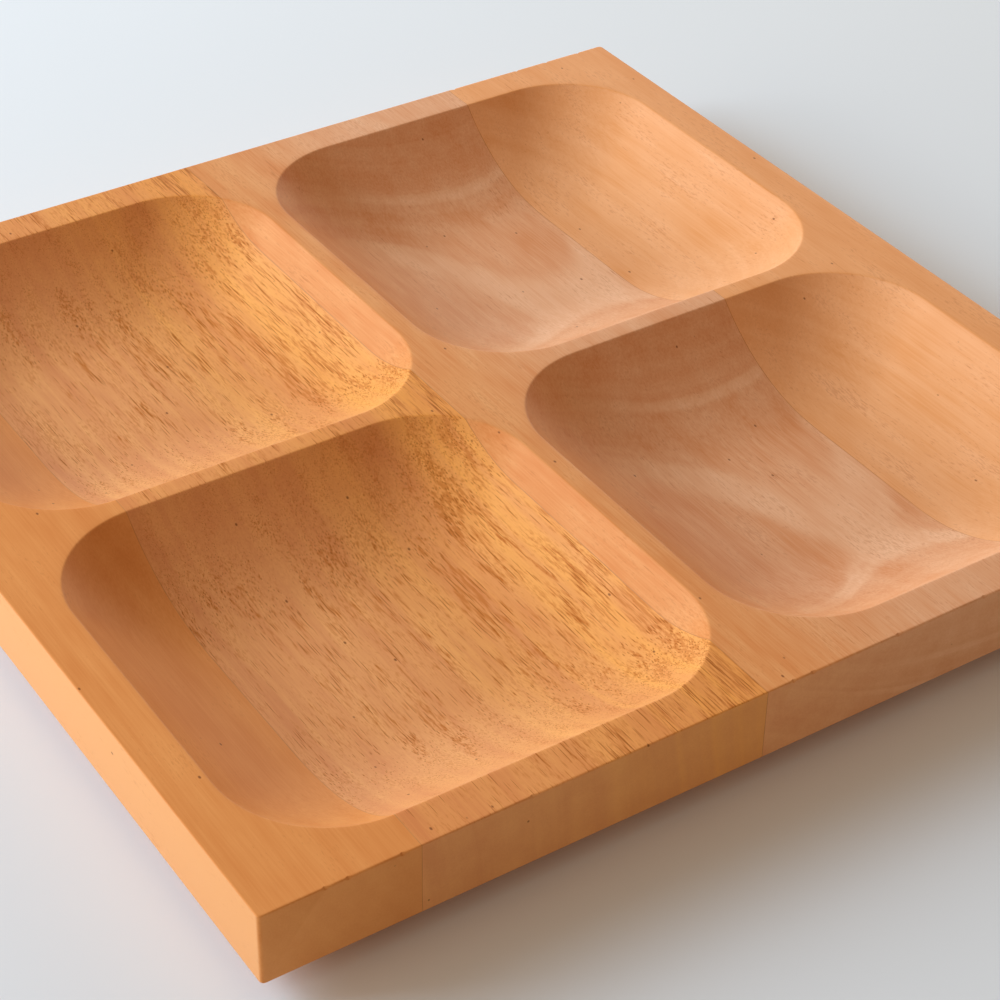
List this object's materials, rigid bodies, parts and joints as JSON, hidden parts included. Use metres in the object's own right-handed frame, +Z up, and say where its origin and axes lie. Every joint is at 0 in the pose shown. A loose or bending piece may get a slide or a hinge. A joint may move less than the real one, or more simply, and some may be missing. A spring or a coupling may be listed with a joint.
{
  "type": "divided wooden tray",
  "caption": "Square hardwood serving tray, edge-glued from boards, with dished compartments between thin dividers and an undercut base edge.",
  "frame": {"origin": "centre of the tray's box at the flat base it rests on", "axes": "+X across the boards, +Y along the grain, +Z up through the open side of the dishes"},
  "size_m": [0.3, 0.3, 0.028],
  "materials": {
    "orange_brown_wood": "satin oiled",
    "golden_wood": "satin oiled, open pores",
    "pink_tan_wood": "satin oiled",
    "peach_wood": "satin oiled",
    "cured_glue": "cured wood glue"
  },
  "bodies": {
    "root": {"left_edge_board": "orange_brown_wood", "inner_board_1": "golden_wood", "inner_board_2": "pink_tan_wood", "right_edge_board": "peach_wood", "glue_line_1": "cured_glue", "glue_line_2": "cured_glue", "glue_line_3": "cured_glue"}
  },
  "joints": []
}
